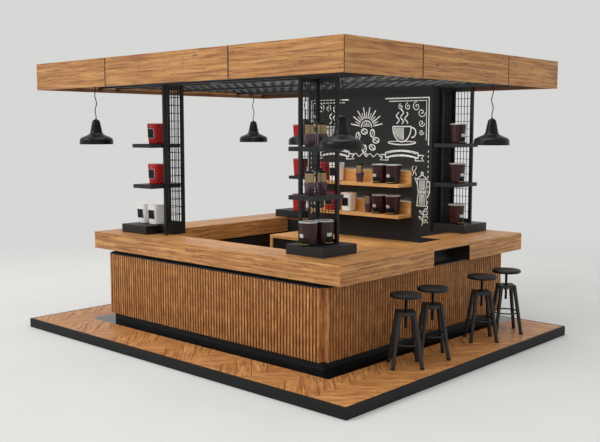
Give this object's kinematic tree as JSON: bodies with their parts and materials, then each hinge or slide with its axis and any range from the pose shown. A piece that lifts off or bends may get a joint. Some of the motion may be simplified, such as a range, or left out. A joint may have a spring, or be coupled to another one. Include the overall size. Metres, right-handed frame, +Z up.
{
  "type": "coffee kiosk",
  "caption": "Walk-in coffee bar on a low platform: slatted counter ring with wood tops, mesh shelf towers, chalk wall, slab canopy, pendant lamps and swivel stools.",
  "frame": {"origin": "centre of the platform's underside", "axes": "+X along the front towards the stools, +Y from the front to the back, +Z up"},
  "size_m": [5, 4.03, 3.164],
  "materials": {
    "edging_black": "satin black laminate edging",
    "parquet": "oiled oak parquet",
    "band_black": "satin black laminate",
    "core_black": "black laminated board",
    "slat_wood": "oiled walnut-brown slats",
    "counter_wood": "lacquered wood veneer",
    "hinge_steel": "plain steel",
    "board_black": "black laminated board",
    "frame_black": "black powder coat",
    "canopy_wood": "lacquered wood veneer",
    "chalkboard": "matt black chalkboard paint",
    "shelf_wood": "oiled light wood",
    "shade_black": "satin black enamel",
    "flex_fabric": "twisted braided flex",
    "stool_black": "satin black paint",
    "maker_red": "gloss",
    "maker_white": "gloss",
    "maker_brown": "gloss",
    "jar_plum": "gloss"
  },
  "bodies": {
    "kiosk": {"edging_long": "edging_black", "edging_short": "edging_black", "platform_deck": "parquet", "band_front": "band_black", "band_sides": "band_black", "core_front": "core_black", "core_left": "core_black", "core_back": "core_black", "core_right": "core_black", "core_block": "core_black", "slats_front": "slat_wood", "slats_left": "slat_wood", "slats_back": "slat_wood", "slats_right": "slat_wood", "slats_block": "slat_wood", "top_front": "counter_wood", "top_left": "counter_wood", "top_back": "counter_wood", "top_right": "counter_wood", "top_block": "counter_wood", "flap_hinge": "hinge_steel", "gate_hinge": "hinge_steel", "tower_blocks": "board_black", "tower_fl_frame": "frame_black", "tower_fr_frame": "frame_black", "tower_bl_frame": "frame_black", "tower_br_frame": "frame_black", "tower_fl_mesh": "frame_black", "tower_fr_mesh": "frame_black", "tower_bl_mesh": "frame_black", "tower_br_mesh": "frame_black", "tower_shelves": "board_black", "canopy_front": "canopy_wood", "canopy_back": "canopy_wood", "canopy_left": "canopy_wood", "canopy_right": "canopy_wood", "canopy_joists": "frame_black", "ceiling_left": "frame_black", "ceiling_right": "frame_black", "chalk_wall": "chalkboard", "wall_shelves": "shelf_wood", "bench_top": "shelf_wood", "bench_cabinet": "core_black", "lamp_shades": "shade_black", "lamp_flexes": "flex_fabric", "stool_frames": "stool_black", "makers_red": "maker_red", "makers_white": "maker_white", "makers_brown": "maker_brown", "coffee_jars": "jar_plum"},
    "flap": {"counter_flap": "counter_wood"},
    "gate": {"gate_leaf": "core_black", "gate_slats": "slat_wood"},
    "seat_1": {"seat_1": "stool_black"},
    "seat_2": {"seat_2": "stool_black"},
    "seat_3": {"seat_3": "stool_black"},
    "seat_4": {"seat_4": "stool_black"}
  },
  "joints": [
    {"name": "flap_lift", "type": "hinge", "parent": "kiosk", "child": "flap", "pos_m": [1.7265, 0.16, 1.144], "axis": [1, 0, 0], "range_deg": [0, 95]},
    {"name": "gate_swing", "type": "hinge", "parent": "kiosk", "child": "gate", "pos_m": [1.607, 0.166, 0.6], "axis": [0, 0, 1], "range_deg": [0, 90]},
    {"name": "seat_1_turn", "type": "hinge", "parent": "kiosk", "child": "seat_1", "pos_m": [2.108, -0.637, 0.7], "axis": [0, 0, 1], "continuous": true},
    {"name": "seat_2_turn", "type": "hinge", "parent": "kiosk", "child": "seat_2", "pos_m": [2.108, -0.175, 0.7], "axis": [0, 0, 1], "continuous": true},
    {"name": "seat_3_turn", "type": "hinge", "parent": "kiosk", "child": "seat_3", "pos_m": [2.108, 0.773, 0.7], "axis": [0, 0, 1], "continuous": true},
    {"name": "seat_4_turn", "type": "hinge", "parent": "kiosk", "child": "seat_4", "pos_m": [2.108, 1.307, 0.7], "axis": [0, 0, 1], "continuous": true}
  ]
}
